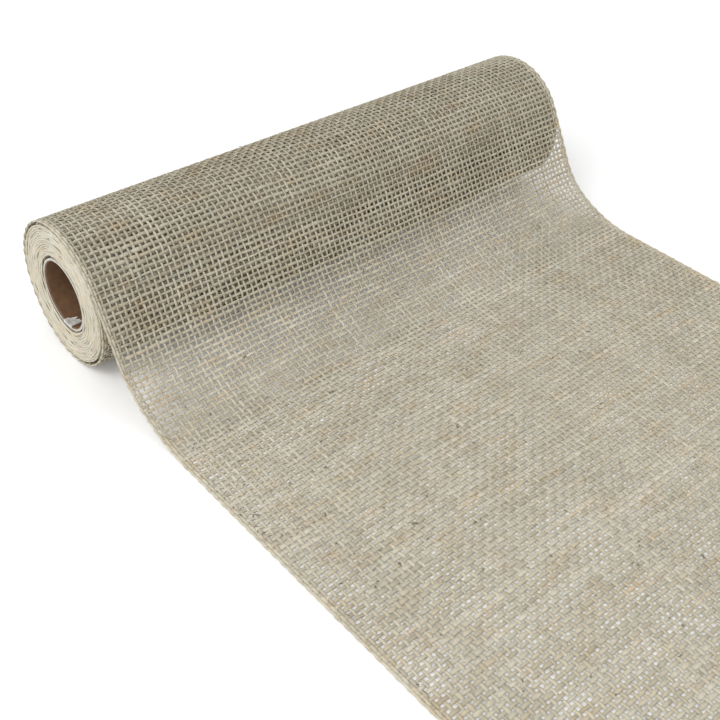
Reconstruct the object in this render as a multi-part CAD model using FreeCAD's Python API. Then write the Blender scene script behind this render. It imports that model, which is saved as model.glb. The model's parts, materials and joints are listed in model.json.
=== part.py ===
"""Roll of open-weave jute ribbon on a cardboard core, with its free end run out over a table.

Units are millimetres. The origin is the centre of the core's bore, halfway along it.
+Y runs along the roll's axis, +X points the way the ribbon runs out, and +Z is up.
"""

import FreeCAD, Part
import math
import os

Vector = FreeCAD.Vector
os.makedirs("parts", exist_ok=True)

# ---------------------------------------------------------------- driving dimensions

RIBBON_WIDTH = 300.0          # across the ribbon, which is also the length of the roll
RIBBON_THICKNESS = 1.0        # over the crests of the weave
TURN_GAP = 0.05               # air between one turn and the next
ROLL_OUTER_RADIUS = 36.4      # at the line where the ribbon leaves the roll

BORE_RADIUS = 16.5
INNER_PLY_THICKNESS = 0.45    # brown kraft liner
MIDDLE_PLY_THICKNESS = 0.60   # grey board
OUTER_PLY_THICKNESS = 0.35    # pale wrapper
GLUE_LINE = 0.02              # between plies
CORE_LENGTH = 299.0           # half a millimetre shy of the ribbon at each end

TAPE_THICKNESS = 0.08
TAPE_WIDTH = 8.0              # round the core
TAPE_TAIL_OUTSIDE = 40.0      # length under the first turn
TAPE_TAB_INSIDE = 8.0         # length turned into the bore

LEAVE_ANGLE = 61.0            # how far past the top the ribbon leaves the roll, in degrees
DRAPE_BREAK_ANGLE = 30.0      # slope where the tight curve hands over to the easy one
TIGHT_CURVE_RADIUS = 42.0     # upper face of the ribbon
EASY_CURVE_RADIUS = 70.0

LEAD_END_X = 140.0            # first fold line across the run on the table
TAIL_SECTION_LENGTH = 55.0    # from one fold line to the next
TAIL_SECTIONS = 4
FOLD_GAP = 0.1                # slit between neighbouring sections
COIL_TURNS = 14               # turns that spin with the core

# ---------------------------------------------------------------- derived sizes

PITCH = RIBBON_THICKNESS + TURN_GAP
CENTRE_SHIFT = PITCH / 4.0    # half-turn arcs on two centres make the spiral
LEAVE = math.radians(LEAVE_ANGLE)
BREAK = math.radians(DRAPE_BREAK_ANGLE)
OUTWARD = Vector(math.sin(LEAVE), 0.0, math.cos(LEAVE))     # from the axis to the leaving line
BACKWARD = Vector(-math.cos(LEAVE), 0.0, math.sin(LEAVE))   # back over the top of the roll

# Lowest point of the outer turn, which is where the roll touches the table.
UNDER_ARC_RADIUS = ROLL_OUTER_RADIUS - CENTRE_SHIFT - PITCH / 2.0
TABLE_Z = -CENTRE_SHIFT * OUTWARD.z - UNDER_ARC_RADIUS
RUN_TOP_Z = TABLE_Z + RIBBON_THICKNESS

# The coil inside clears the still outer turn at every angle, so it starts two turns in.
COIL_OUTER_RADIUS = ROLL_OUTER_RADIUS - 2.0 * PITCH

INNER_PLY_OUTER = BORE_RADIUS + INNER_PLY_THICKNESS
MIDDLE_PLY_OUTER = INNER_PLY_OUTER + GLUE_LINE + MIDDLE_PLY_THICKNESS
CORE_OUTER = MIDDLE_PLY_OUTER + GLUE_LINE + OUTER_PLY_THICKNESS


# ---------------------------------------------------------------- helpers

def extrude_across(edges, width):
    """A solid from a closed outline in the XZ plane, centred on y = 0."""
    wire = Part.Wire(Part.__sortEdges__(edges))
    face = Part.Face(wire)
    solid = face.extrude(Vector(0.0, width, 0.0))
    solid.translate(Vector(0.0, -width / 2.0, 0.0))
    return solid


def spiral_arcs(start_radius, half_turns, depth):
    """Half-turn arcs winding inward from the leaving line, `depth` below the outer face."""
    arcs = []
    for index in range(half_turns):
        side = 1.0 if index % 2 == 0 else -1.0
        centre = OUTWARD * (side * CENTRE_SHIFT)
        radius = start_radius - CENTRE_SHIFT - index * PITCH / 2.0 - depth
        begin = centre + OUTWARD * (side * radius)
        middle = centre + BACKWARD * (side * radius)
        end = centre - OUTWARD * (side * radius)
        arcs.append(Part.Arc(begin, middle, end).toShape())
    return arcs


def end_point(edge):
    return edge.valueAt(edge.LastParameter)


def start_point(edge):
    return edge.valueAt(edge.FirstParameter)


def run_out_edges(depth):
    """The drape and the first run on the table, `depth` below the ribbon's upper face."""
    tight = TIGHT_CURVE_RADIUS + depth
    easy = EASY_CURVE_RADIUS + depth
    leave_point = OUTWARD * (ROLL_OUTER_RADIUS - depth)

    tight_drop = TIGHT_CURVE_RADIUS * (math.cos(BREAK) - math.cos(LEAVE))
    easy_drop = EASY_CURVE_RADIUS * (1.0 - math.cos(BREAK))
    straight_drop = ROLL_OUTER_RADIUS * OUTWARD.z - RUN_TOP_Z - tight_drop - easy_drop
    straight_length = straight_drop / math.sin(LEAVE)

    downhill = Vector(math.cos(LEAVE), 0.0, -math.sin(LEAVE))
    tight_start = leave_point + downhill * straight_length
    tight_centre = tight_start + OUTWARD * tight

    def on_arc(centre, radius, slope):
        return centre + Vector(-math.sin(slope), 0.0, -math.cos(slope)) * radius

    break_point = on_arc(tight_centre, tight, BREAK)
    easy_centre = break_point + Vector(math.sin(BREAK), 0.0, math.cos(BREAK)) * easy
    flat_start = on_arc(easy_centre, easy, 0.0)
    flat_end = Vector(LEAD_END_X - FOLD_GAP / 2.0, 0.0, flat_start.z)

    return [
        Part.LineSegment(leave_point, tight_start).toShape(),
        Part.Arc(tight_start, on_arc(tight_centre, tight, (LEAVE + BREAK) / 2.0), break_point).toShape(),
        Part.Arc(break_point, on_arc(easy_centre, easy, BREAK / 2.0), flat_start).toShape(),
        Part.LineSegment(flat_start, flat_end).toShape(),
    ]


def sleeve(inner_radius, outer_radius, length):
    """A tube along Y, centred on the origin."""
    base = Vector(0.0, -length / 2.0, 0.0)
    along = Vector(0.0, 1.0, 0.0)
    outside = Part.makeCylinder(outer_radius, length, base, along)
    inside = Part.makeCylinder(inner_radius, length, base, along)
    return outside.cut(inside)


# ---------------------------------------------------------------- core tube

def core_inner_ply():
    """Brown kraft liner; its inside is the bore."""
    return sleeve(BORE_RADIUS, INNER_PLY_OUTER, CORE_LENGTH)


def core_middle_ply():
    """Grey board that gives the tube its stiffness."""
    return sleeve(INNER_PLY_OUTER + GLUE_LINE, MIDDLE_PLY_OUTER, CORE_LENGTH)


def core_outer_ply():
    """Pale paper wrapper under the first turn of ribbon."""
    return sleeve(MIDDLE_PLY_OUTER + GLUE_LINE, CORE_OUTER, CORE_LENGTH)


def starter_tape():
    """Clear tape that holds the first turn, folded over the rim into the bottom of the bore."""
    rim_y = -CORE_LENGTH / 2.0
    outside_inner = CORE_OUTER + GLUE_LINE
    outside_outer = outside_inner + TAPE_THICKNESS
    inside_outer = BORE_RADIUS - GLUE_LINE
    inside_inner = inside_outer - TAPE_THICKNESS
    fold_inner_y = rim_y - GLUE_LINE
    fold_outer_y = fold_inner_y - TAPE_THICKNESS
    outline = [
        (outside_outer, rim_y + TAPE_TAIL_OUTSIDE),
        (outside_outer, fold_outer_y),
        (inside_inner, fold_outer_y),
        (inside_inner, rim_y + TAPE_TAB_INSIDE),
        (inside_outer, rim_y + TAPE_TAB_INSIDE),
        (inside_outer, fold_inner_y),
        (outside_inner, fold_inner_y),
        (outside_inner, rim_y + TAPE_TAIL_OUTSIDE),
    ]
    corners = [Vector(0.0, y, -radius) for radius, y in outline]
    face = Part.Face(Part.makePolygon(corners + corners[:1]))
    sweep = math.degrees(TAPE_WIDTH / CORE_OUTER)
    centre = Vector(0.0, 0.0, 0.0)
    along = Vector(0.0, 1.0, 0.0)
    face.rotate(centre, along, -sweep / 2.0)
    return face.revolve(centre, along, sweep)


# ---------------------------------------------------------------- ribbon

def ribbon_coil():
    """The wound turns that spin with the core, as one spiral strip."""
    half_turns = 2 * COIL_TURNS
    outer = spiral_arcs(COIL_OUTER_RADIUS, half_turns, 0.0)
    inner = spiral_arcs(COIL_OUTER_RADIUS, half_turns, RIBBON_THICKNESS)
    outer_end = Part.LineSegment(start_point(outer[0]), start_point(inner[0])).toShape()
    inner_end = Part.LineSegment(end_point(outer[-1]), end_point(inner[-1])).toShape()
    return extrude_across(outer + inner + [outer_end, inner_end], RIBBON_WIDTH)


def ribbon_lead():
    """The outer turn, the drape to the table and the first run along it, as one strip."""
    upper_turn = spiral_arcs(ROLL_OUTER_RADIUS, 2, 0.0)
    lower_turn = spiral_arcs(ROLL_OUTER_RADIUS, 2, RIBBON_THICKNESS)
    upper_run = run_out_edges(0.0)
    lower_run = run_out_edges(RIBBON_THICKNESS)
    turn_end = Part.LineSegment(end_point(upper_turn[-1]), end_point(lower_turn[-1])).toShape()
    fold_end = Part.LineSegment(end_point(upper_run[-1]), end_point(lower_run[-1])).toShape()
    edges = upper_turn + lower_turn + upper_run + lower_run + [turn_end, fold_end]
    return extrude_across(edges, RIBBON_WIDTH)


def ribbon_tail(number):
    """One section of the free end, lying flat between two fold lines."""
    fold_x = LEAD_END_X + (number - 1) * TAIL_SECTION_LENGTH
    corner = Vector(fold_x + FOLD_GAP / 2.0, -RIBBON_WIDTH / 2.0, TABLE_Z)
    return Part.makeBox(TAIL_SECTION_LENGTH - FOLD_GAP, RIBBON_WIDTH, RIBBON_THICKNESS, corner)


# ---------------------------------------------------------------- one file for each piece

PIECES = {
    "core_inner_ply": core_inner_ply(),
    "core_middle_ply": core_middle_ply(),
    "core_outer_ply": core_outer_ply(),
    "starter_tape": starter_tape(),
    "ribbon_coil": ribbon_coil(),
    "ribbon_lead": ribbon_lead(),
}
for section in range(1, TAIL_SECTIONS + 1):
    PIECES[f"ribbon_tail_{section}"] = ribbon_tail(section)

for name, shape in PIECES.items():
    shape.exportStep(f"parts/{name}.step")
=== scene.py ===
"""Looks for the roll of open-weave jute ribbon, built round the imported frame.

Every yarn is a closed tube that passes over and under the yarns it crosses, so the cloth is real geometry
on the roll, over the drape and along the table. Lengths are metres in the CAD's frame: the origin is the
centre of the bore, +Y runs along the roll, +X is the way the ribbon runs out and +Z is up.
"""

import json
import math

import bpy
import numpy as np
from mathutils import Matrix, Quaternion, Vector


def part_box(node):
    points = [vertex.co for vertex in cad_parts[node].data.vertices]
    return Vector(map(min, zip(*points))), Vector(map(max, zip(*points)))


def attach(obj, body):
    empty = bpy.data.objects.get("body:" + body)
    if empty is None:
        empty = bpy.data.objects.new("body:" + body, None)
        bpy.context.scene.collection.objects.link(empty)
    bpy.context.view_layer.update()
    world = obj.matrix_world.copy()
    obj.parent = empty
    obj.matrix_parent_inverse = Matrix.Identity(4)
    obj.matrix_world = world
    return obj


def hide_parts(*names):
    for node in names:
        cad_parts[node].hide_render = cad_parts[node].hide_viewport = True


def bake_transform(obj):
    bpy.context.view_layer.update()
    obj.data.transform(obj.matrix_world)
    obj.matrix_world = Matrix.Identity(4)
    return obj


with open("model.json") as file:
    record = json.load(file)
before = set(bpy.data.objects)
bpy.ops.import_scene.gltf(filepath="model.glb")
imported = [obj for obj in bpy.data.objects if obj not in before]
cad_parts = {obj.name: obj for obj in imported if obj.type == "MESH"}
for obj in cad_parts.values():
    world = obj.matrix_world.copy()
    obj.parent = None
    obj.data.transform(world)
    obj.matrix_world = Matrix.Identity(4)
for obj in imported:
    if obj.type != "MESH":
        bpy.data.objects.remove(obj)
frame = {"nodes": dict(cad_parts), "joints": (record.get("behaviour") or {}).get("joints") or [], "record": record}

MM = 0.001
TAU = 2.0 * math.pi
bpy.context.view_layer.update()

# ---------------------------------------------------------------- sizes from the frame

lead_low, lead_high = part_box("ribbon_lead")
tail_low, tail_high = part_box("ribbon_tail_1")
tape_low, tape_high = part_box("starter_tape")
cut_end_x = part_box("ribbon_tail_4")[1].x
bore_ply_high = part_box("core_inner_ply")[1]
core_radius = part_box("core_outer_ply")[1].x

fold_joints = [joint for joint in frame["joints"] if joint["child"].startswith("tail_")]
section_length = fold_joints[1]["pos_m"][0] - fold_joints[0]["pos_m"][0]
bore_mount = next(mount for mount in frame["record"]["mounts"] if mount["name"] == "core_bore")
bore_radius = bore_mount["dims"]["r_mm"] * MM

TABLE_Z = tail_low.z
CLOTH = tail_high.z - tail_low.z               # thickness over the crests of the weave
HALF_WIDTH = (lead_high.y - lead_low.y) / 2.0

# How the strip is wound and draped, as in the CAD.
TURN_GAP = 0.05 * MM
PITCH = CLOTH + TURN_GAP
CENTRE_SHIFT = PITCH / 4.0
LEAVE = math.radians(61.0)
BREAK = math.radians(30.0)
TIGHT_RADIUS = 42.0 * MM
EASY_RADIUS = 70.0 * MM
ROLL_RADIUS = lead_high.z + CENTRE_SHIFT * (1.0 - math.cos(LEAVE))
COIL_RADIUS = ROLL_RADIUS - 2.0 * PITCH
COIL_TURNS = 14

# ---------------------------------------------------------------- the weave

WARP_PITCH = 3.04 * MM
WEFT_PITCH = 2.86 * MM
EDGE_INSETS = [0.55 * MM, 1.75 * MM, 3.3 * MM]  # the outermost yarns sit closer together
WARP_WIDTH = 1.18 * MM
WEFT_WIDTH = 1.50 * MM
WARP_SPREAD = 1.42                             # the yarns flatten out where nothing pulls on them
WEFT_SPREAD = 1.30
YARN_HEIGHT = 0.50 * MM
EDGE_YARN_HEIGHT = 0.90 * MM                   # the edge yarn is thick, and pale where it is rubbed
EDGE_YARN_WIDTH = 0.85                         # of the other lengthwise yarns'
EDGE_YARN_WAVE = 0.2                           # of the others' rise and dip
WAVE = 0.54 * YARN_HEIGHT                      # how far a yarn rises and dips
RINGS = 3                                      # from one crossing to the next
HIDDEN_RINGS = 2                               # the same, under the outer turn
YARN_SIDES = 6
HAIR_SIDES = 3
HAIR_RINGS = 4
SLUB_SWELL = 0.11                              # a yarn grows thicker and thinner by about this share
LUMP_SWELL = 0.16                              # and by more where its noise is above LUMP_START
LUMP_START = 0.9
PATCH_SWELL = 0.08                             # whole patches of the weave are closer or more open
WARP_STREAK = 0.08                             # how much a yarn's tint changes along it
WEFT_STREAK = 0.13
DARKEST = 0.15
PALEST = 0.98
WARP_DRIFT = 0.45 * MM                         # neighbouring yarns stray this far together
WEFT_DRIFT = 0.55 * MM
WARP_STRAY = 0.17 * MM                         # and each one this far by itself
WEFT_STRAY = 0.15 * MM
FIRM_EDGE = 12.0 * MM                          # the yarns stray less this close to the edge
SHORTEST_FRINGE = 2.5 * MM
LONGEST_FRINGE = 6.5 * MM
FRINGE_WIDTHS = np.array([1.0, 0.95, 0.85, 0.7, 0.35])   # a frayed yarn thins towards its tip
FRINGE_HEIGHTS = np.array([1.0, 1.0, 0.95, 0.8, 0.4])
HAIR_LENGTH = 3.2 * MM
HAIR_RADIUS = 0.055 * MM
HAIRS_PER_HOLE = 2.4
BARK_SHARE = 0.012                             # of the fibres, thick dark ones
BARK_TINT = -1.0
ROLL_PAINTED_SHADE_TONE = 0.42                               # middle tint of the yarns where the ribbon is wound, darker than on the table: painted shade
RUN_TONE = 0.68                                # and where it lies in the light on the table
TAUT_TONE = 0.10                               # the taut lengthwise yarns on the roll are paler, with less of the painted shade
EDGE_TONE = 0.74
# The coil's outermost turn is painted paler than the jute: painted light against the shade under the still turn
# round it.
COIL_PAINTED_LIGHT_TONE = 0.85
SEED = 487
NOWHERE = (math.inf, math.inf)


class Path:
    """Round and straight stretches in the XZ plane, measured along their length.

    A heading is how steeply the line runs downhill, and a positive bend steepens it.
    """

    def __init__(self, x, z, heading, stretches):
        self.starts = [(0.0, x, z, heading, 0.0)]
        for length, bend in stretches:
            s, x, z, heading, _ = self.starts[-1]
            self.starts[-1] = (s, x, z, heading, bend)
            ahead = self.step(x, z, heading, bend, length)
            self.starts.append((s + length, *ahead, 0.0))
        self.length = self.starts[-1][0]

    @staticmethod
    def step(x, z, heading, bend, distance):
        turned = heading + bend * distance
        straight = np.abs(bend) < 1e-9
        safe = np.where(straight, 1.0, bend)
        dx = np.where(straight, np.cos(heading) * distance, (np.sin(turned) - np.sin(heading)) / safe)
        dz = np.where(straight, -np.sin(heading) * distance, (np.cos(turned) - np.cos(heading)) / safe)
        return x + dx, z + dz, turned

    def at(self, s):
        """x, z and heading at each distance in the array s."""
        table = np.array([[float(value) for value in row] for row in self.starts])
        row = np.clip(np.searchsorted(table[:, 0], s, side="right") - 1, 0, len(table) - 1)
        start, x, z, heading, bend = table[row].T
        return self.step(x, z, heading, bend, s - start)


def spiral_stretches(outer_radius, half_turns):
    """Half-turn arcs from the inside out, ending at the leaving line; also where they start."""
    middle = outer_radius - CLOTH / 2.0 - CENTRE_SHIFT
    radii = [middle - index * PITCH / 2.0 for index in range(half_turns)][::-1]
    stretches = [(math.pi * radius, 1.0 / radius) for radius in radii]
    side = 1.0 if half_turns % 2 == 0 else -1.0
    reach = side * (radii[0] - CENTRE_SHIFT)
    start = (reach * math.sin(LEAVE), reach * math.cos(LEAVE))
    return start, LEAVE - half_turns * math.pi, stretches


def ribbon_path():
    """The middle of the cloth: once round the roll from under the leaving line, then down and out."""
    (x, z), heading, turn = spiral_stretches(ROLL_RADIUS, 2)
    tight = TIGHT_RADIUS + CLOTH / 2.0
    easy = EASY_RADIUS + CLOTH / 2.0
    drop = (ROLL_RADIUS - CLOTH / 2.0) * math.cos(LEAVE) - (TABLE_Z + CLOTH / 2.0)
    curve_drop = tight * (math.cos(BREAK) - math.cos(LEAVE)) + easy * (1.0 - math.cos(BREAK))
    straight = (drop - curve_drop) / math.sin(LEAVE)
    drape = [(straight, 0.0), (tight * (LEAVE - BREAK), -1.0 / tight), (easy * BREAK, -1.0 / easy)]
    bent = Path(x, z, heading, turn + drape)
    flat_x = float(bent.at(np.array([bent.length]))[0][0])
    path = Path(x, z, heading, turn + drape + [(cut_end_x - flat_x, 0.0)])
    turn_length = sum(length for length, _ in turn)
    return path, turn_length, bent.length - flat_x


PATH, TURN_LENGTH, FLAT_OFFSET = ribbon_path()   # on the table, s = x + FLAT_OFFSET


def warp_places():
    """Distance of each lengthwise yarn from the ribbon's middle line, edge to edge."""
    inner_half = HALF_WIDTH - EDGE_INSETS[-1]
    gaps = round(2.0 * inner_half / WARP_PITCH)
    inner = np.linspace(-inner_half, inner_half, gaps + 1)
    edge = np.array([HALF_WIDTH - inset for inset in EDGE_INSETS[:-1]])
    return np.concatenate([-edge, inner, edge[::-1]])


WARPS = warp_places()
WEFT_COUNT = int(PATH.length / WEFT_PITCH)


def place_across(u):
    """Distance across the ribbon at lengthwise-yarn number u, where yarn i lies at i + 0.5."""
    return np.interp(u, np.arange(len(WARPS)) + 0.5, WARPS)


class Wander:
    """Smooth noise of about -1 to 1 along each of many yarns, the same every run."""

    def __init__(self, seed, rows, wavelengths):
        self.waves = wavelengths
        self.phase = np.random.default_rng(seed).uniform(0.0, TAU, (rows, len(wavelengths)))

    def __call__(self, row, place):
        total = 0.0
        for index, wave in enumerate(self.waves):
            total = total + np.sin(TAU * place / wave + self.phase[row, index])
        return total / math.sqrt(len(self.waves))


class Drift:
    """Smooth noise over the whole cloth, so that neighbouring yarns stray together."""

    def __init__(self, seed, waves, shortest, longest):
        rng = np.random.default_rng(seed)
        self.direction = rng.uniform(0.0, TAU, waves)
        self.wave = rng.uniform(shortest, longest, waves)
        self.phase = rng.uniform(0.0, TAU, waves)

    def __call__(self, s, y):
        total = 0.0
        for direction, wave, phase in zip(self.direction, self.wave, self.phase):
            along = s * math.cos(direction) + y * math.sin(direction)
            total = total + np.sin(TAU * along / wave + phase)
        return total / math.sqrt(len(self.wave))


class Weave:
    """The places, widths and tints of all the yarns of one stretch of cloth.

    The tone goes from the first of `tones` to the second between the two distances of `toning`, and the
    yarns flatten out between the two of `spreading`. A darker first tone is painted shade on the wound cloth.
    """

    def __init__(self, seed, wefts, tones, toning=NOWHERE, spreading=NOWHERE):
        self.tones = tones
        self.toning = toning
        self.spreading = spreading
        yarns = len(WARPS) + wefts
        rng = np.random.default_rng(seed)
        self.stray = Wander(seed + 1, yarns, [11.0 * MM, 23.0 * MM, 47.0 * MM])
        self.slub = Wander(seed + 2, yarns, [7.0 * MM, 19.0 * MM, 53.0 * MM])
        self.shade = Wander(seed + 3, yarns, [17.0 * MM, 41.0 * MM, 97.0 * MM])
        self.drift_s = Drift(seed + 4, 7, 60.0 * MM, 240.0 * MM)
        self.drift_y = Drift(seed + 5, 7, 60.0 * MM, 240.0 * MM)
        self.open = Drift(seed + 6, 11, 16.0 * MM, 52.0 * MM)
        self.girth = rng.normal(1.0, 0.10, yarns).clip(0.75, 1.35)
        self.tint = rng.normal(0.0, 0.07, yarns)

    def half_width(self, yarn, place, s, y):
        slub = self.slub(yarn, place)
        swell = 1.0 + SLUB_SWELL * slub + LUMP_SWELL * np.maximum(slub - LUMP_START, 0.0)
        swell = swell + PATCH_SWELL * self.open(s, y)
        lengthwise = yarn < len(WARPS)
        spread = np.interp(s, self.spreading, (1.0, WARP_SPREAD if lengthwise else WEFT_SPREAD))
        return (WARP_WIDTH if lengthwise else WEFT_WIDTH) / 2.0 * self.girth[yarn] * swell * spread

    def tints(self, yarn, place, s):
        lengthwise = yarn < len(WARPS)
        taut = TAUT_TONE if lengthwise else 0.0
        # Where the ribbon is wound, the darker tone is painted shade.
        tone = np.interp(s, self.toning, (self.tones[0] + taut, self.tones[1]))
        streak = WARP_STREAK if lengthwise else WEFT_STREAK
        return np.clip(tone + self.tint[yarn] + streak * self.shade(yarn, place), DARKEST, PALEST)


class YarnMesh:
    """Collects closed tubes and turns them into one mesh object."""

    def __init__(self, sides):
        self.sides = sides
        angles = (np.arange(sides) + 0.5) / sides * TAU
        self.cos = np.cos(angles)
        self.sin = np.sin(angles)
        self.vertices, self.quads, self.caps, self.tints, self.yarns = [], [], [], [], []
        self.count = 0

    def add(self, centre, across, up, half_width, half_height, tint):
        """A tube through the ring centres; across and up are unit vectors at each ring."""
        rings = len(centre)
        width = (across * half_width[:, None])[:, None, :] * self.cos[None, :, None]
        height = (up * half_height[:, None])[:, None, :] * self.sin[None, :, None]
        self.vertices.append((centre[:, None, :] + width + height).reshape(-1, 3))
        ring = np.arange(rings - 1)[:, None] * self.sides
        here = np.arange(self.sides)[None, :]
        there = (here + 1) % self.sides
        corners = [ring + here, ring + there, ring + self.sides + there, ring + self.sides + here]
        self.quads.append(np.stack(corners, axis=-1).reshape(-1, 4) + self.count)
        first = np.arange(self.sides)[::-1] + self.count
        self.caps += [first, np.arange(self.sides) + self.count + (rings - 1) * self.sides]
        step = np.linalg.norm(np.diff(centre, axis=0), axis=1)
        along = np.concatenate([[0.0], np.cumsum(step)]) / MM
        yarn = np.empty((rings, self.sides, 3))
        yarn[:, :, 0] = self.cos
        yarn[:, :, 1] = self.sin
        yarn[:, :, 2] = along[:, None]
        self.yarns.append(yarn.reshape(-1, 3))
        self.tints.append(np.repeat(tint, self.sides))
        self.count += rings * self.sides

    def build(self, name, material):
        vertices = np.concatenate(self.vertices)
        quads = np.concatenate(self.quads)
        caps = np.array(self.caps)
        loops = np.concatenate([quads.ravel(), caps.ravel()])
        starts = np.concatenate([
            np.arange(len(quads)) * 4,
            len(quads) * 4 + np.arange(len(caps)) * self.sides,
        ])
        mesh = bpy.data.meshes.new(name)
        mesh.vertices.add(len(vertices))
        mesh.vertices.foreach_set("co", vertices.astype(np.float32).ravel())
        mesh.loops.add(len(loops))
        mesh.loops.foreach_set("vertex_index", loops.astype(np.int32))
        mesh.polygons.add(len(starts))
        mesh.polygons.foreach_set("loop_start", starts.astype(np.int32))
        mesh.polygons.foreach_set("use_smooth", np.ones(len(starts), bool))
        mesh.update(calc_edges=True)
        tint = mesh.attributes.new("tint", "FLOAT", "POINT")
        tint.data.foreach_set("value", np.concatenate(self.tints).astype(np.float32))
        yarn = mesh.attributes.new("yarn", "FLOAT_VECTOR", "POINT")
        yarn.data.foreach_set("vector", np.concatenate(self.yarns).astype(np.float32).ravel())
        mesh.materials.append(material)
        piece = bpy.data.objects.new(name, mesh)
        bpy.context.scene.collection.objects.link(piece)
        return piece


def cloth_points(path, s, y, rise):
    """Points at distance s along and y across, lifted by `rise`, with the cloth's own directions there."""
    x, z, heading = path.at(s)
    zero = np.zeros_like(x)
    along = np.stack([np.cos(heading), zero, -np.sin(heading)], axis=-1)
    up = np.stack([np.sin(heading), zero, np.cos(heading)], axis=-1)
    across = np.stack([zero, zero + 1.0, zero], axis=-1)
    centre = np.stack([x, zero + y, z], axis=-1) + up * rise[:, None]
    return centre, along, up, across


def add_warp(mesh, path, weave, index, first_weft, last_weft, rings, fringe=0.0):
    """One lengthwise yarn between two places given as weft numbers, with a frayed end if asked."""
    t = np.arange(first_weft * rings, last_weft * rings + 1) / rings
    s = t * WEFT_PITCH
    rise = WAVE * (-1.0) ** index * np.sin(math.pi * t)
    nominal = WARPS[index]
    loose = min(1.0, (HALF_WIDTH - abs(nominal)) / FIRM_EDGE)
    at_edge = index in (0, len(WARPS) - 1)
    near_edge = min(index, len(WARPS) - 1 - index) < len(EDGE_INSETS) - 1
    if at_edge:
        rise = EDGE_YARN_WAVE * rise
    y = nominal + loose * (WARP_DRIFT * weave.drift_y(s, nominal) + WARP_STRAY * weave.stray(index, s))
    if fringe > 0.0:
        frayed = np.linspace(0.0, 1.0, len(FRINGE_WIDTHS) + 1)[1:]
        rng = np.random.default_rng(SEED + 900 + index)
        s = np.concatenate([s, s[-1] + fringe * frayed])
        rise = np.concatenate([rise, rise[-1] + rng.uniform(-0.1, 1.2) * MM * frayed ** 2])
        y = np.concatenate([y, y[-1] + rng.normal(0.0, 1.2) * MM * frayed ** 1.5])
    centre, _, up, across = cloth_points(path, s, y, rise)
    half_width = (EDGE_YARN_WIDTH if at_edge else 1.0) * weave.half_width(index, s, s, y)
    half_height = np.full(len(s), (EDGE_YARN_HEIGHT if at_edge else YARN_HEIGHT) / 2.0)
    tints = weave.tints(index, s, s)
    if near_edge:
        tints = np.maximum(tints, EDGE_TONE)
    if fringe > 0.0:
        half_width[-len(frayed):] *= FRINGE_WIDTHS
        half_height[-len(frayed):] *= FRINGE_HEIGHTS
    mesh.add(centre, -across, up, half_width, half_height, tints)


# The three rings where a crosswise yarn turns back: how far round, how far in from the edge, how thin.
TURN_SHARE = np.array([0.35, 0.75, 1.0])
TURN_INSET = np.array([0.35, 0.18, 0.12]) * MM
TURN_THINNING = np.array([0.8, 0.6, 0.5])


def weft_turn(side, partner_s, s, rise):
    """Distances along, across and up where a crosswise yarn hugs the edge and heads for the next pick."""
    y = side * (HALF_WIDTH - TURN_INSET)
    return s + (partner_s - s) * 0.5 * TURN_SHARE ** 1.6, y, rise * (1.0 - TURN_SHARE)


def add_weft(mesh, path, weave, number, rings):
    """One crosswise pick, which turns back round the edge at both ends."""
    yarn = len(WARPS) + number
    # The pick starts and ends on the outermost lengthwise yarns.
    u = np.arange(rings // 2, len(WARPS) * rings - rings // 2 + 1) / rings
    y = place_across(u)
    nominal = (number + 0.5) * WEFT_PITCH
    s = nominal + WEFT_DRIFT * weave.drift_s(nominal, y) + WEFT_STRAY * weave.stray(yarn, y)
    s = np.clip(s, 0.0, path.length)
    rise = -WAVE * (-1.0) ** number * np.sin(math.pi * u)
    left_partner = s[0] + WEFT_PITCH * (1.0 if number % 2 == 0 else -1.0)
    right_partner = s[-1] + WEFT_PITCH * (-1.0 if number % 2 == 0 else 1.0)
    left_s, left_y, left_rise = weft_turn(-1.0, left_partner, s[0], rise[0])
    right_s, right_y, right_rise = weft_turn(1.0, right_partner, s[-1], rise[-1])
    s = np.concatenate([left_s[::-1], s, right_s])
    y = np.concatenate([left_y[::-1], y, right_y])
    rise = np.concatenate([left_rise[::-1], rise, right_rise])
    centre, _, up, _ = cloth_points(path, np.clip(s, 0.0, path.length), y, rise)
    step = np.gradient(centre, axis=0)
    flat = step - up * np.sum(step * up, axis=1, keepdims=True)
    flat /= np.linalg.norm(flat, axis=1, keepdims=True)
    side_way = np.cross(flat, up)
    half_width = weave.half_width(yarn, y, nominal, y)
    half_width[:len(TURN_THINNING)] *= TURN_THINNING[::-1]
    half_width[-len(TURN_THINNING):] *= TURN_THINNING
    tints = weave.tints(yarn, y, nominal)
    mesh.add(centre, side_way, up, half_width, np.full(len(s), YARN_HEIGHT / 2.0), tints)


def woven_patch(name, path, weave, first_weft, last_weft, rings=RINGS, fringe=False):
    """The cloth between two places given as weft numbers, as one mesh of all its yarns."""
    mesh = YarnMesh(YARN_SIDES)
    rng = np.random.default_rng(SEED + 700)
    for index in range(len(WARPS)):
        frayed = rng.uniform(SHORTEST_FRINGE, LONGEST_FRINGE) if fringe else 0.0
        add_warp(mesh, path, weave, index, first_weft, last_weft, rings, frayed)
    for number in range(first_weft, last_weft):
        add_weft(mesh, path, weave, number, rings)
    return mesh.build(name, JUTE)


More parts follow.
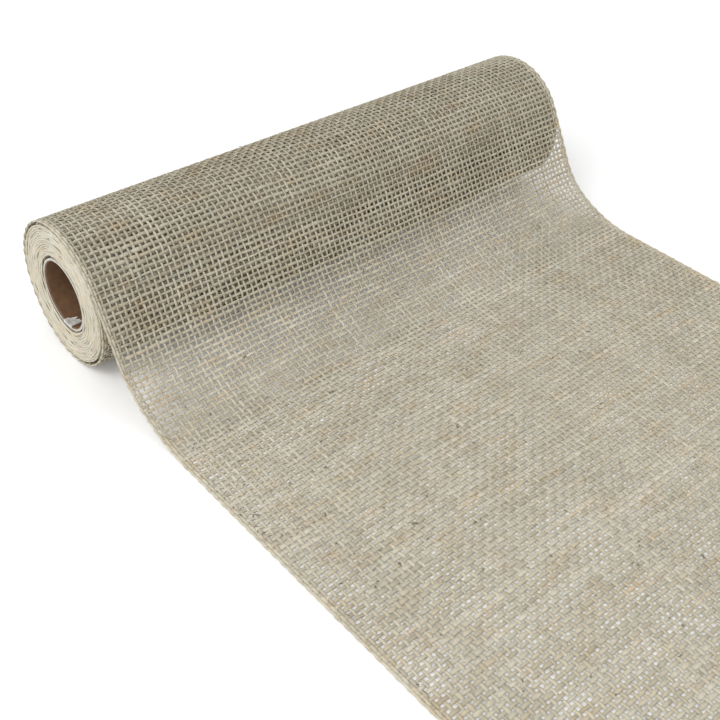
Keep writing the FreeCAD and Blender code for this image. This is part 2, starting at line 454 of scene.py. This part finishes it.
def add_hairs(mesh, path, first_weft, last_weft, count, seed):
    """Loose fibres that stray from the yarns: they bridge the holes and stand a little off the cloth."""
    rng = np.random.default_rng(seed)
    rings = HAIR_RINGS
    start_s = rng.uniform(first_weft, last_weft, (count, 1)) * WEFT_PITCH
    start_y = rng.uniform(-1.0, 1.0, (count, 1)) * (HALF_WIDTH - 1.5 * MM)
    turn = rng.uniform(0.0, TAU, (count, 1)) + rng.normal(0.0, 0.5, (count, 1)) * np.arange(rings)
    step = rng.uniform(0.4, 1.0, (count, 1)) * HAIR_LENGTH / (rings - 1)
    reach = np.arange(rings) > 0
    s = start_s + step * np.cumsum(np.cos(turn) * reach, axis=1)
    y = start_y + step * np.cumsum(np.sin(turn) * reach, axis=1)
    arch = rng.exponential(0.22, (count, 1)) * np.array([0.0, 0.8, 1.0, 0.3])
    rise = (rng.normal(0.0, 0.18, (count, 1)).clip(-0.38, 0.5) + arch) * MM
    centre, along, up, across = cloth_points(path, s.ravel(), y.ravel(), rise.ravel())
    beside = across * np.cos(turn.ravel())[:, None] - along * np.sin(turn.ravel())[:, None]
    centre, beside, up = (part.reshape(count, rings, 3) for part in (centre, beside, up))
    bark = rng.uniform(0.0, 1.0, count) < BARK_SHARE
    girth = np.where(bark, 2.4, rng.uniform(0.6, 1.3, count))[:, None]
    radius = HAIR_RADIUS * girth * np.array([1.0, 1.0, 0.9, 0.5])
    tint = np.where(bark, BARK_TINT, rng.uniform(0.35, 1.0, count))
    for number in range(count):
        mesh.add(centre[number], beside[number], up[number], radius[number], radius[number],
                 np.full(rings, tint[number]))


def cloth_pieces(name, weave, first_weft, last_weft, seed, fringe=False):
    """One stretch of the ribbon and the loose fibres on it, as two pieces that are to move together."""
    cloth = woven_patch(name, PATH, weave, first_weft, last_weft, fringe=fringe)
    hairs = YarnMesh(HAIR_SIDES)
    count = int(HAIRS_PER_HOLE * (last_weft - first_weft) * len(WARPS))
    add_hairs(hairs, PATH, first_weft, last_weft, count, seed)
    return cloth, hairs.build(name + "_fibres", JUTE)


# ---------------------------------------------------------------- materials

def new_material(name):
    material = bpy.data.materials.new(name)
    material.use_nodes = True
    nodes = material.node_tree.nodes
    nodes.clear()
    output = nodes.new("ShaderNodeOutputMaterial")
    shader = nodes.new("ShaderNodeBsdfPrincipled")
    material.node_tree.links.new(shader.outputs[0], output.inputs[0])
    return material, nodes, material.node_tree.links, shader


def add_math(nodes, links, operation, *values):
    node = nodes.new("ShaderNodeMath")
    node.operation = operation
    for socket, value in zip(node.inputs, values):
        if isinstance(value, (int, float)):
            socket.default_value = value
        else:
            links.new(value, socket)
    return node.outputs[0]


def add_noise(nodes, links, scale, detail=3.0, roughness=0.55, vector=None):
    node = nodes.new("ShaderNodeTexNoise")
    node.inputs["Scale"].default_value = scale
    node.inputs["Detail"].default_value = detail
    node.inputs["Roughness"].default_value = roughness
    if vector is None:
        vector = nodes.new("ShaderNodeTexCoord").outputs["Object"]
    links.new(vector, node.inputs["Vector"])
    return node.outputs["Fac"]


def add_ramp(nodes, links, factor, stops):
    node = nodes.new("ShaderNodeValToRGB")
    elements = node.color_ramp.elements
    while len(elements) < len(stops):
        elements.new(0.5)
    for element, (position, colour) in zip(elements, stops):
        element.position = position
        element.color = (*colour, 1.0)
    links.new(factor, node.inputs["Fac"])
    return node.outputs["Color"]


def add_mix(nodes, links, factor, first, second, blend="MIX"):
    node = nodes.new("ShaderNodeMix")
    node.data_type = "RGBA"
    node.blend_type = blend
    for socket, value in ((node.inputs[0], factor), (node.inputs[6], first), (node.inputs[7], second)):
        if isinstance(value, (int, float)):
            socket.default_value = value
        elif isinstance(value, tuple):
            socket.default_value = (*value, 1.0)
        else:
            links.new(value, socket)
    return node.outputs[2]


def add_bump(nodes, links, shader, height, strength, distance):
    node = nodes.new("ShaderNodeBump")
    node.inputs["Strength"].default_value = strength
    node.inputs["Distance"].default_value = distance
    links.new(height, node.inputs["Height"])
    links.new(node.outputs["Normal"], shader.inputs["Normal"])


BLACK = (0.0, 0.0, 0.0)
WHITE = (1.0, 1.0, 1.0)
BARK = (0.085, 0.06, 0.035)
TWIST_PER_MM = 2.1                             # radians that a yarn's fibres turn in each millimetre
STRANDS = 4.0                                  # ridges round a yarn


def jute_material(name, cream, pale, middle, dark):
    """Hairy natural yarn: each has its own tint, with twisted fibres, stains, pale patches of painted light,
    painted shade in the grooves between strands and dark flecks of bark.
    """
    material, nodes, links, shader = new_material(name)
    tint = nodes.new("ShaderNodeAttribute")
    tint.attribute_name = "tint"
    yarn = nodes.new("ShaderNodeAttribute")
    yarn.attribute_name = "yarn"
    split = nodes.new("ShaderNodeSeparateXYZ")
    links.new(yarn.outputs["Vector"], split.inputs[0])
    around = add_math(nodes, links, "ARCTAN2", split.outputs[1], split.outputs[0])
    along = split.outputs[2]
    lay = add_math(nodes, links, "MULTIPLY_ADD", along, TWIST_PER_MM, around)
    strands = add_math(nodes, links, "SINE", add_math(nodes, links, "MULTIPLY", lay, STRANDS))
    mottle = add_noise(nodes, links, 620.0, 4.0, 0.65)
    shade = add_math(nodes, links, "MULTIPLY_ADD", mottle, 0.6, tint.outputs["Fac"])
    # Painted shade: the grooves between the twisted strands are a little darker, the ridges a little paler.
    shade = add_math(nodes, links, "MULTIPLY_ADD", strands, 0.05, shade)
    shade = add_math(nodes, links, "SUBTRACT", shade, 0.3)
    # The middle colour sits at the wound cloth's tone, darkened as painted shade; the pale one at the tone on the
    # table.
    stops = [(0.0, BARK), (0.05, dark), (ROLL_PAINTED_SHADE_TONE, middle), (RUN_TONE, pale), (1.0, cream)]
    colour = add_ramp(nodes, links, shade, stops)

    # Stains, and pale patches of painted light, are longer across the ribbon, along the crosswise yarns.
    place = nodes.new("ShaderNodeMapping")
    place.inputs["Scale"].default_value = (1.0, 0.30, 1.0)
    links.new(nodes.new("ShaderNodeTexCoord").outputs["Object"], place.inputs["Vector"])
    for scale, low, high, strength, patch_colour in STAINS_AND_LIGHT_PATCHES:
        patches = add_noise(nodes, links, scale, 2.0, 0.5, place.outputs["Vector"])
        patches = add_ramp(nodes, links, patches, [(low, BLACK), (high, WHITE)])
        amount = add_math(nodes, links, "MULTIPLY", patches, strength)
        colour = add_mix(nodes, links, amount, colour, patch_colour, "MULTIPLY")

    fleck = add_noise(nodes, links, 300.0, 1.0, 0.5)
    specks = add_ramp(nodes, links, fleck, [(0.755, BLACK), (0.79, WHITE)])
    colour = add_mix(nodes, links, add_math(nodes, links, "MULTIPLY", specks, 0.7), colour, BARK)
    links.new(colour, shader.inputs["Base Color"])
    shader.inputs["Roughness"].default_value = 0.88
    shader.inputs["Specular IOR Level"].default_value = 0.25
    fibres = add_math(nodes, links, "MULTIPLY_ADD", mottle, 2.4, strands)
    add_bump(nodes, links, shader, fibres, 0.45, 0.00005)
    return material


# Noise scale, where the patch starts and where it is full, its strength, and the colour it multiplies by.
STAINS_AND_LIGHT_PATCHES = [
    (170.0, 0.50, 0.72, 0.75, (1.02, 0.91, 0.80)),
    (140.0, 0.52, 0.72, 0.60, (0.96, 1.00, 1.03)),
    (60.0, 0.50, 0.70, 0.50, (0.93, 0.89, 0.84)),
    # Painted light: pale bluish patches, for light showing through the open weave.
    (40.0, 0.50, 0.68, 0.90, (1.09, 1.10, 1.13)),
]
JUTE = jute_material(
    "jute_yarn",
    cream=(0.605, 0.562, 0.45),
    pale=(0.489, 0.450, 0.351),
    middle=(0.402, 0.366, 0.278),
    dark=(0.27, 0.24, 0.17),
)
SELVEDGE = jute_material(
    "jute_edges",
    cream=(0.62, 0.585, 0.48),
    pale=(0.515, 0.48, 0.385),
    middle=(0.43, 0.395, 0.31),
    dark=(0.31, 0.275, 0.20),
)


INNER_PICKS = 64.0                             # crosswise yarns round one inner turn


def inner_jute_material():
    """The turns inside the coil, seen only through the weave above: rows of yarn in both directions, painted paler
    than the yarns as painted light against the shade under the outer turns, and darker between the rows as painted
    shade.
    """
    material, nodes, links, shader = new_material("inner_turns")
    place = nodes.new("ShaderNodeTexCoord").outputs["Object"]
    split = nodes.new("ShaderNodeSeparateXYZ")
    links.new(place, split.inputs[0])
    across = add_math(nodes, links, "MULTIPLY", split.outputs[1], TAU / WARP_PITCH)
    rows = add_math(nodes, links, "SINE", across)
    angle = add_math(nodes, links, "ARCTAN2", split.outputs[2], split.outputs[0])
    picks = add_math(nodes, links, "SINE", add_math(nodes, links, "MULTIPLY", angle, INNER_PICKS))
    cover = add_math(nodes, links, "MAXIMUM", rows, picks)
    mottle = add_noise(nodes, links, 300.0, 2.0, 0.5)
    mottle = add_math(nodes, links, "MULTIPLY", mottle, 0.4)
    cover = add_math(nodes, links, "MULTIPLY_ADD", cover, 0.12, mottle)
    # Painted light: paler than the jute, to lift the shade seen through the holes; the dark gap colour is painted
    # shade.
    colour = add_ramp(nodes, links, cover, [(0.0, (0.34, 0.295, 0.21)), (0.5, (0.62, 0.565, 0.44))])
    links.new(colour, shader.inputs["Base Color"])
    shader.inputs["Roughness"].default_value = 0.95
    add_bump(nodes, links, shader, cover, 0.5, 0.0003)
    return material


def shaded_kraft_material():
    """Brown kraft paper with long fibres, calendered slightly smooth, darkened by painted shade for the dim inside
    of the bore.
    """
    material, nodes, links, shader = new_material("kraft_liner")
    mottle = add_noise(nodes, links, 260.0, 6.0, 0.7)
    broad = add_noise(nodes, links, 28.0, 2.0, 0.5)
    shade = add_math(nodes, links, "ADD", add_math(nodes, links, "MULTIPLY", mottle, 0.6),
                     add_math(nodes, links, "MULTIPLY", broad, 0.4))
    # Painted shade: much darker than kraft, for the dim inside of the bore.
    colour = add_ramp(nodes, links, shade, [(0.3, (0.095, 0.044, 0.019)), (0.7, (0.215, 0.118, 0.058))])
    links.new(colour, shader.inputs["Base Color"])
    shader.inputs["Roughness"].default_value = 0.62
    add_bump(nodes, links, shader, mottle, 0.35, 0.00015)
    return material


def board_material(name, low, high):
    """Paper board: pale pulp with grey and brown specks."""
    material, nodes, links, shader = new_material(name)
    fibre = add_noise(nodes, links, 900.0, 5.0, 0.7)
    colour = add_ramp(nodes, links, fibre, [(0.3, low), (0.65, high)])
    links.new(colour, shader.inputs["Base Color"])
    shader.inputs["Roughness"].default_value = 0.85
    add_bump(nodes, links, shader, fibre, 0.5, 0.00015)
    return material


def tape_material():
    """Clear tape gone milky where it is creased."""
    material, nodes, links, shader = new_material("clear_tape")
    crease = add_noise(nodes, links, 420.0, 5.0, 0.75)
    colour = add_ramp(nodes, links, crease, [(0.35, (0.50, 0.48, 0.44)), (0.6, (0.93, 0.91, 0.87))])
    links.new(colour, shader.inputs["Base Color"])
    shader.inputs["Roughness"].default_value = 0.28
    shader.inputs["Alpha"].default_value = 0.62
    add_bump(nodes, links, shader, crease, 0.8, 0.0003)
    return material


INNER = inner_jute_material()
KRAFT_PAINTED_SHADE = shaded_kraft_material()
GREY_BOARD = board_material("grey_board", (0.36, 0.335, 0.29), (0.56, 0.53, 0.47))
PALE_PAPER = board_material("pale_wrapper", (0.46, 0.445, 0.40), (0.63, 0.615, 0.565))
TAPE = tape_material()


# ---------------------------------------------------------------- the ribbon outside the coil

def weft_at(s):
    return round(s / WEFT_PITCH)


FRINGE_ROOM = 5.0 * MM


def build_ribbon():
    """The still outer turn, the drape and the run on the table, in patches that meet between two picks."""
    # The painted shade on the wound cloth fades out where the ribbon leaves the roll.
    toning = (TURN_LENGTH - 5.0 * MM, TURN_LENGTH + 60.0 * MM)
    spreading = (TURN_LENGTH + 45.0 * MM, TURN_LENGTH + 105.0 * MM)
    weave = Weave(SEED, WEFT_COUNT + 2, (ROLL_PAINTED_SHADE_TONE, RUN_TONE), toning, spreading)
    marks = [weft_at(TURN_LENGTH * share) for share in (0.0, 1.0 / 3.0, 2.0 / 3.0, 1.0)]
    first_fold = fold_joints[0]["pos_m"][0]
    run_marks = [weft_at(first_fold + (index - 0.5) * section_length + FLAT_OFFSET) for index in range(5)]
    marks += [(marks[-1] + run_marks[0]) // 2, run_marks[0]]
    still = ["outer_turn_1", "outer_turn_2", "outer_turn_3", "drape_upper", "drape_lower"]
    for number, name in enumerate(still):
        for piece in cloth_pieces(name, weave, marks[number], marks[number + 1], SEED + 300 + number):
            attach(piece, "lead")
            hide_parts("ribbon_lead")

    for index, joint in enumerate(fold_joints):
        ends = run_marks[index], run_marks[index + 1]
        for piece in cloth_pieces(f"run_{index + 1}", weave, *ends, SEED + 320 + index):
            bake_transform(piece)
            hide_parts(f"ribbon_tail_{index + 1}")

    last_weft = weft_at(PATH.length - FRINGE_ROOM)
    for piece in cloth_pieces("cut_end", weave, run_marks[-1], last_weft, SEED + 330, fringe=True):
        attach(piece, "tail_4")
        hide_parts("ribbon_tail_4")


build_ribbon()


# ---------------------------------------------------------------- the coil that spins with the core

def build_coil_surface():
    """The coil's outermost turn, woven like the ribbon over it."""
    (x, z), heading, stretches = spiral_stretches(COIL_RADIUS, 2)
    path = Path(x, z, heading, stretches)
    count = int(path.length / WEFT_PITCH)
    # Its paler tone is painted light, against the shade under the outer turn.
    weave = Weave(SEED + 50, count + 2, (COIL_PAINTED_LIGHT_TONE, COIL_PAINTED_LIGHT_TONE))
    for number, (first, last) in enumerate(((0, count // 2), (count // 2, count))):
        patch = woven_patch(f"coil_surface_{number + 1}", path, weave, first, last, rings=HIDDEN_RINGS)
        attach(patch, "roll")
        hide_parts("ribbon_coil")


RINGS_PER_HALF_TURN = 36
INNER_SETBACK = 3.0 * MM


def build_coil_inside():
    """The turns under it as one thin closed strip, which stops short of the edges."""
    half_turns = 2 * COIL_TURNS - 2
    (x, z), heading, stretches = spiral_stretches(COIL_RADIUS - PITCH, half_turns)
    path = Path(x, z, heading, stretches)
    rings = RINGS_PER_HALF_TURN * half_turns
    s = np.linspace(0.0, path.length, rings)
    centre, _, up, across = cloth_points(path, s, np.zeros(rings), np.zeros(rings))
    # The strip's section has four square corners, where a yarn's is round.
    mesh = YarnMesh(4)
    mesh.cos = np.array([1.0, -1.0, -1.0, 1.0])
    mesh.sin = np.array([1.0, 1.0, -1.0, -1.0])
    half_width = np.full(rings, HALF_WIDTH - INNER_SETBACK)
    mesh.add(centre, -across, up, half_width, np.full(rings, 0.30 * CLOTH), np.full(rings, 0.4))
    strip = mesh.build("coil_inner_turns", INNER)
    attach(strip, "roll")
    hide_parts("ribbon_coil")


EDGE_WOBBLE = 0.24 * MM                        # the wound edges stand unevenly
EDGE_STRAY = 0.16 * MM
EDGE_RISE = 0.10 * MM
EDGE_HEIGHT = 0.57                             # of the pitch, so that neighbouring turns press together
OUTERMOST_HEIGHT = 0.42                        # of the cloth, so that the outermost turn keeps clear
STITCH_SPACING = 4                             # rings from one turned-back pick to the next
STITCH_WIDTH = 0.12                            # the yarn swells there
STITCH_HEIGHT = 0.06


def build_coil_edges(side, name):
    """The selvedges of the inner turns at one end, pressed together into a face of uneven ridges."""
    half_turns = 2 * COIL_TURNS
    (x, z), heading, stretches = spiral_stretches(COIL_RADIUS, half_turns)
    path = Path(x, z, heading, stretches)
    count = int(path.length / WEFT_PITCH)
    weave = Weave(SEED + 80 + int(side), count + 4, (RUN_TONE, RUN_TONE))
    wobble = Wander(SEED + 90 + int(side), 1, [13.0 * MM, 31.0 * MM, 83.0 * MM, 190.0 * MM])
    mesh = YarnMesh(YARN_SIDES)
    for index, inset in enumerate(EDGE_INSETS):
        t = np.arange(0, count * 2 + 1) / 2.0
        s = t * WEFT_PITCH
        stitch = np.where(np.arange(len(t)) % STITCH_SPACING == 0, 1.0, 0.0)
        rise = EDGE_RISE * weave.slub(index, s + 7.0 * MM)
        proud = EDGE_WOBBLE * wobble(0, s) + EDGE_STRAY * weave.stray(index, s)
        y = side * (HALF_WIDTH - inset + proud)
        half_width = weave.half_width(index, s, s, y) * (EDGE_YARN_WIDTH + STITCH_WIDTH * stitch)
        half_height = PITCH * (EDGE_HEIGHT + STITCH_HEIGHT * stitch + 0.05 * weave.shade(index, s))
        # The outermost turn keeps inside the coil's own radius, clear of the still turn round it.
        outermost = s > path.length - TAU * COIL_RADIUS
        half_height = np.where(outermost, OUTERMOST_HEIGHT * CLOTH, half_height)
        rise = np.where(outermost, 0.0, rise)
        centre, _, up, across = cloth_points(path, s, y, rise)
        mesh.add(centre, -across, up, half_width, half_height, weave.tints(index, s, s))
    edges = mesh.build(name, SELVEDGE)
    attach(edges, "roll")
    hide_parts("ribbon_coil")


build_coil_surface()
build_coil_inside()
build_coil_edges(-1.0, "coil_edge_near")
build_coil_edges(1.0, "coil_edge_far")


# ---------------------------------------------------------------- the core

def add_piece(name, points, faces, material, slot):
    """A smooth-shaded mesh that rides on the roll."""
    mesh = bpy.data.meshes.new(name)
    mesh.from_pydata(points, [], faces)
    mesh.polygons.foreach_set("use_smooth", np.ones(len(faces), bool))
    mesh.materials.append(material)
    piece = bpy.data.objects.new(name, mesh)
    bpy.context.scene.collection.objects.link(piece)
    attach(piece, "roll")
    return piece


def grid_tube(outline, shape):
    """Points and faces of a closed tube wall: the (r, y) outline swept round Y.

    shape(angle, r, y) gives the final r and y.
    """
    around = 160
    angle = np.linspace(0.0, TAU, around, endpoint=False)
    grid_r, grid_angle = np.meshgrid(outline[:, 0], angle)
    grid_y, _ = np.meshgrid(outline[:, 1], angle)
    r, y = shape(grid_angle, grid_r, grid_y)
    points = np.stack([r * np.sin(grid_angle), y, r * np.cos(grid_angle)], axis=-1).reshape(-1, 3)
    columns = len(outline)
    faces = []
    for i in range(around):
        for j in range(columns):
            here = i * columns + j
            beside = i * columns + (j + 1) % columns
            ahead = ((i + 1) % around) * columns + j
            across = ((i + 1) % around) * columns + (j + 1) % columns
            faces.append((here, beside, across, ahead))
    return points.tolist(), faces


def build_bore_ply():
    """The kraft liner with the shallow groove of its spiral seam and softly rounded rims."""
    half_length = bore_ply_high.y
    outer = bore_ply_high.x
    inner_bevel = 0.2 * MM
    outer_bevel = 0.05 * MM
    along = np.linspace(-half_length + inner_bevel, half_length - inner_bevel, 300)
    radii = [bore_radius] * len(along) + [outer] * 2
    lengths = list(along) + [half_length - outer_bevel, -half_length + outer_bevel]
    outline = np.array([radii, lengths]).T
    seam_lead = 62.0 * MM
    seam_half_width = 0.8 * MM
    seam_depth = 0.16 * MM

    def shape(angle, r, y):
        phase = (y / seam_lead - angle / TAU) % 1.0
        distance = np.minimum(phase, 1.0 - phase) * seam_lead
        groove = seam_depth * np.clip(1.0 - distance / seam_half_width, 0.0, 1.0)
        inside = r < (bore_radius + outer) / 2.0
        return r + np.where(inside, groove, 0.0), y

    ply = add_piece("bore_liner", *grid_tube(outline, shape), KRAFT_PAINTED_SHADE, "kraft_liner")
    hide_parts("core_inner_ply")


TAPE_SHEET = 0.08 * MM
TAPE_AIR = 0.05 * MM                           # between the tape and what it is stuck to
TAB_LENGTH = 8.0 * MM                          # turned into the bore
TAPE_OUTSIDE = 14.0 * MM                       # modelled length under the first turn, where it is hidden
TAPE_ROWS = 46
TAPE_COLUMNS = 22


def tape_points():
    """Two layers of rows: from the ragged end in the bore, round the rim and along the core's outside."""
    half_sweep = math.asin(tape_high.x / core_radius) * 0.98
    rim_y = tape_low.y
    crumple = Drift(SEED + 120, 9, 2.2 * MM, 7.0 * MM)
    ragged = Wander(SEED + 121, 1, [2.3 * MM, 5.1 * MM])
    points = []
    for layer in (0.0, 1.0):
        for distance in np.linspace(0.0, TAB_LENGTH + TAPE_OUTSIDE, TAPE_ROWS):
            for angle in np.linspace(-half_sweep, half_sweep, TAPE_COLUMNS):
                arc = angle * bore_radius
                if distance < TAB_LENGTH:
                    reach = TAB_LENGTH - distance
                    reach *= 0.80 + 0.17 * ragged(0, arc) - 0.30 * (angle / half_sweep + 0.4) ** 2
                    lift = (0.12 + 0.35 * (reach / TAB_LENGTH) * abs(crumple(distance, arc))) * MM
                    r = bore_radius - TAPE_AIR - lift - TAPE_SHEET * layer
                    y = rim_y + 0.10 * MM + reach
                else:
                    r = core_radius + TAPE_AIR + TAPE_SHEET * layer
                    y = rim_y + 0.10 * MM + (distance - TAB_LENGTH)
                if abs(distance - TAB_LENGTH) < 0.6 * MM:
                    y = rim_y - TAPE_AIR - TAPE_SHEET * layer
                points.append((r * math.sin(math.pi + angle), y, r * math.cos(math.pi + angle)))
    return points


def tape_faces():
    """Both layers and the closed rim between them."""
    faces = []
    size = TAPE_ROWS * TAPE_COLUMNS
    for i in range(TAPE_ROWS - 1):
        for j in range(TAPE_COLUMNS - 1):
            here = i * TAPE_COLUMNS + j
            ahead = here + TAPE_COLUMNS
            faces.append((here, ahead, ahead + 1, here + 1))
            faces.append((size + here, size + here + 1, size + ahead + 1, size + ahead))
    rim = [i * TAPE_COLUMNS for i in range(TAPE_ROWS)]
    rim += [(TAPE_ROWS - 1) * TAPE_COLUMNS + j for j in range(1, TAPE_COLUMNS)]
    rim += [i * TAPE_COLUMNS + TAPE_COLUMNS - 1 for i in range(TAPE_ROWS - 2, -1, -1)]
    rim += list(range(TAPE_COLUMNS - 2, 0, -1))
    for here, there in zip(rim, rim[1:] + rim[:1]):
        faces.append((here, size + here, size + there, there))
    return faces


def build_tape():
    """The crumpled end of the starter tape, folded over the rim into the bottom of the bore."""
    piece = add_piece("starter_tape_crumpled", tape_points(), tape_faces(), TAPE, "clear_tape")
    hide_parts("starter_tape")


def repaint(node, material):
    """Gives a CAD node whose shape is right its detailed material."""
    data = frame["nodes"][node].data
    data.materials.clear()
    data.materials.append(material)


build_bore_ply()
build_tape()
repaint("core_middle_ply", GREY_BOARD)
repaint("core_outer_ply", PALE_PAPER)


# ---------------------------------------------------------------- table, light and camera

TABLE_ROOM = 0.22 * MM                         # loose yarns and fibres hold the cloth a little off it
TABLE_HALF = 4.0
TABLE_GLOW = 0.06                              # a little light from below keeps the shadows soft


def build_table():
    material, nodes, links, shader = new_material("white_table")
    shade = add_noise(nodes, links, 3.0, 2.0, 0.5)
    colour = add_ramp(nodes, links, shade, [(0.0, (0.90, 0.90, 0.90)), (1.0, (0.93, 0.93, 0.93))])
    links.new(colour, shader.inputs["Base Color"])
    shader.inputs["Roughness"].default_value = 0.9
    shader.inputs["Emission Color"].default_value = (*WHITE, 1.0)
    shader.inputs["Emission Strength"].default_value = TABLE_GLOW
    z = TABLE_Z - TABLE_ROOM
    corners = [(x * TABLE_HALF, y * TABLE_HALF, z) for x, y in ((-1, -1), (1, -1), (1, 1), (-1, 1))]
    mesh = bpy.data.meshes.new("table")
    mesh.from_pydata(corners, [], [(0, 1, 2, 3)])
    mesh.materials.append(material)
    table = bpy.data.objects.new("table", mesh)
    bpy.context.scene.collection.objects.link(table)


def add_softbox(name, place, aim, size, watts):
    light = bpy.data.lights.new(name, "AREA")
    light.shape = "RECTANGLE"
    light.size = size[0]
    light.size_y = size[1]
    light.energy = watts
    lamp = bpy.data.objects.new(name, light)
    bpy.context.scene.collection.objects.link(lamp)
    lamp.location = place
    direction = Vector(aim) - Vector(place)
    lamp.rotation_mode = "QUATERNION"
    lamp.rotation_quaternion = direction.to_track_quat("-Z", "Y")


def build_light():
    world = bpy.data.worlds.new("white_room")
    world.use_nodes = True
    background = world.node_tree.nodes["Background"]
    background.inputs[0].default_value = (*WHITE, 1.0)
    background.inputs[1].default_value = 0.85
    bpy.context.scene.world = world
    add_softbox("key", place=(0.5, -1.9, 2.5), aim=(0.1, 0.0, 0.0), size=(1.8, 1.4), watts=39.0)
    add_softbox("fill", place=(0.4, -2.4, 0.9), aim=(0.0, -0.15, 0.0), size=(1.5, 1.0), watts=8.0)


def build_camera():
    """A pinhole camera looking down at the table from the roll's near right."""
    azimuth = math.radians(48.12)
    elevation = math.radians(39.16)
    roll = math.radians(2.26)
    distance = 525.2 * MM
    aim = Vector((87.8 * MM, -43.6 * MM, TABLE_Z))
    outward = math.cos(elevation)
    back = Vector((math.sin(azimuth) * outward, -math.cos(azimuth) * outward, math.sin(elevation)))
    data = bpy.data.cameras.new("camera")
    data.sensor_width = 36.0
    data.lens = 54.27
    data.clip_start = 0.01
    data.clip_end = 20.0
    camera = bpy.data.objects.new("camera", data)
    bpy.context.scene.collection.objects.link(camera)
    camera.rotation_mode = "QUATERNION"
    camera.location = aim + back * distance
    level = (-back).to_track_quat("-Z", "Y")
    line_of_sight = Vector((0.0, 0.0, 1.0))
    camera.rotation_quaternion = level @ Quaternion(line_of_sight, roll)
    bpy.context.scene.camera = camera


build_table()
build_light()
build_camera()
bpy.context.scene.view_settings.view_transform = "Standard"
